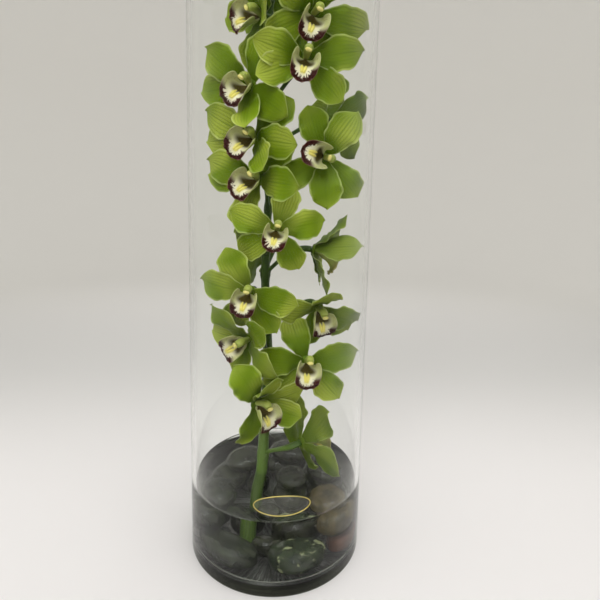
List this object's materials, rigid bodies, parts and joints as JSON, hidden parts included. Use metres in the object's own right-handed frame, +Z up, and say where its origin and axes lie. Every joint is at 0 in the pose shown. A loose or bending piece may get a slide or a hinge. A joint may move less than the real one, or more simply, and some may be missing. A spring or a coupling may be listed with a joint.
{
  "type": "orchid stem in vase",
  "caption": "Flower spike of a small green boat orchid standing in a tall clear glass cylinder vase, its cut foot in shallow water over dark river pebbles.",
  "frame": {"origin": "middle of the vase's flat foot", "axes": "+Z up along the vase; -Y is the side seen in front, where most blooms face; +X to the right"},
  "size_m": [0.15, 0.1509, 0.6],
  "materials": {
    "clear_glass": "clear, polished",
    "water": "still, clear",
    "clear_label": "thin clear film with a plain gold rim line",
    "green_stem": "fresh, satin",
    "green_tepal": "fresh petal, waxy satin, slightly translucent",
    "cream_lip": "fresh petal, satin, cream with maroon spots on its rim",
    "dark_stone": "polished river pebble"
  },
  "bodies": {
    "root": {"vase": "clear_glass", "water": "water", "label": "clear_label", "spike": "green_stem", "tepals_01": "green_tepal", "lip_01": "cream_lip", "tepals_02": "green_tepal", "lip_02": "cream_lip", "tepals_03": "green_tepal", "lip_03": "cream_lip", "tepals_04": "green_tepal", "lip_04": "cream_lip", "tepals_05": "green_tepal", "lip_05": "cream_lip", "tepals_06": "green_tepal", "lip_06": "cream_lip", "tepals_07": "green_tepal", "lip_07": "cream_lip", "tepals_08": "green_tepal", "lip_08": "cream_lip", "tepals_09": "green_tepal", "lip_09": "cream_lip", "tepals_10": "green_tepal", "lip_10": "cream_lip", "tepals_11": "green_tepal", "lip_11": "cream_lip", "tepals_12": "green_tepal", "lip_12": "cream_lip", "tepals_13": "green_tepal", "lip_13": "cream_lip", "tepals_14": "green_tepal", "lip_14": "cream_lip", "tepals_15": "green_tepal", "lip_15": "cream_lip", "tepals_16": "green_tepal", "lip_16": "cream_lip", "tepals_17": "green_tepal", "lip_17": "cream_lip", "tepals_18": "green_tepal", "lip_18": "cream_lip", "tepals_19": "green_tepal", "lip_19": "cream_lip", "tepals_20": "green_tepal", "lip_20": "cream_lip", "pebble_01": "dark_stone", "pebble_02": "dark_stone", "pebble_03": "dark_stone", "pebble_04": "dark_stone", "pebble_05": "dark_stone", "pebble_06": "dark_stone", "pebble_07": "dark_stone", "pebble_08": "dark_stone", "pebble_09": "dark_stone", "pebble_10": "dark_stone", "pebble_11": "dark_stone", "pebble_12": "dark_stone", "pebble_13": "dark_stone", "pebble_14": "dark_stone", "pebble_15": "dark_stone"}
  },
  "joints": []
}
